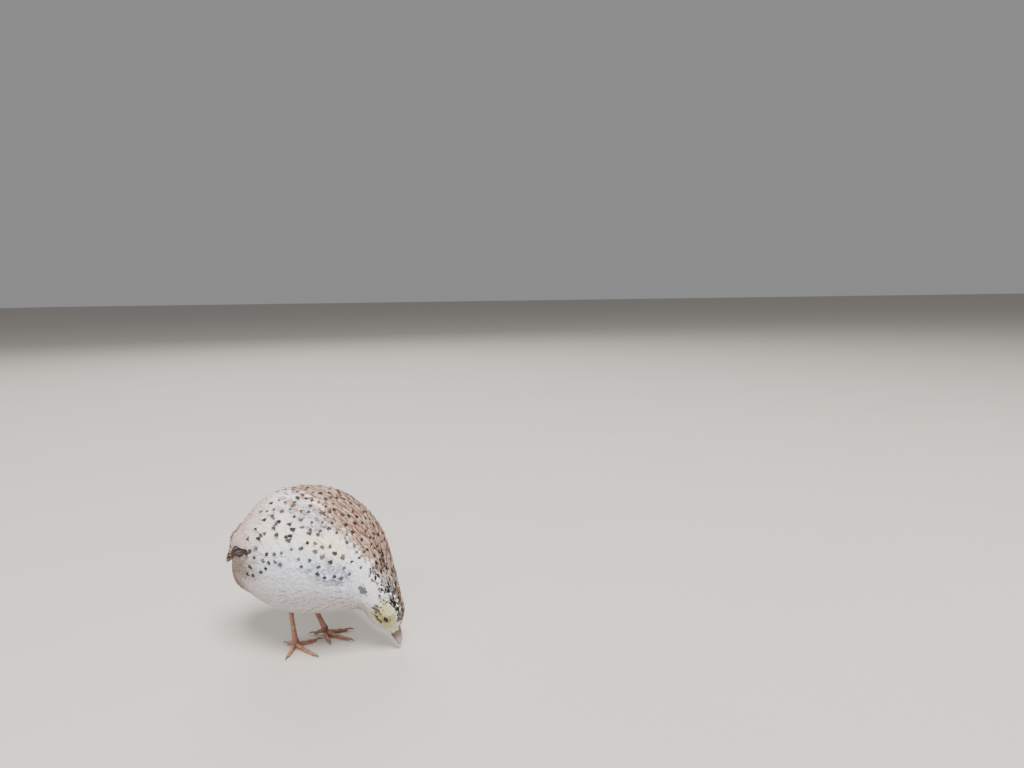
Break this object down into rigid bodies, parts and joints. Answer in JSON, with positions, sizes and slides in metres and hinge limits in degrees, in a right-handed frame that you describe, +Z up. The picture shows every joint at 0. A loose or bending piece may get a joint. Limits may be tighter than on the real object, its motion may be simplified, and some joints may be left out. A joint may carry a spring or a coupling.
{
  "type": "coturnix quail",
  "caption": "Life-size still model of a white, dark-spotted coturnix quail standing with its head down to peck.",
  "frame": {"origin": "middle of the ground under the bird's outline, on the floor plane", "axes": "the bird faces -Y, its left side is towards +X, +Z up"},
  "size_m": [0.085, 0.118, 0.101],
  "materials": {
    "plumage": "soft overlapping feathers, white with small dark grey spots, warm tan along the back",
    "bill": "pale horn, satin",
    "eye": "dark brown, wet gloss",
    "leg_skin": "flesh-coloured scaled skin",
    "claw": "brownish horn, satin"
  },
  "bodies": {
    "root": {"torso": "plumage", "neck": "plumage", "head": "plumage", "tail": "plumage", "wing_right": "plumage", "wing_left": "plumage", "bill_upper": "bill", "bill_lower": "bill", "eye_right": "eye", "eye_left": "eye", "tarsus_right": "leg_skin", "foot_right": "leg_skin", "claw_right_middle": "claw", "claw_right_outer": "claw", "claw_right_inner": "claw", "claw_right_hind": "claw", "tarsus_left": "leg_skin", "foot_left": "leg_skin", "claw_left_middle": "claw", "claw_left_outer": "claw", "claw_left_inner": "claw", "claw_left_hind": "claw"}
  },
  "joints": []
}
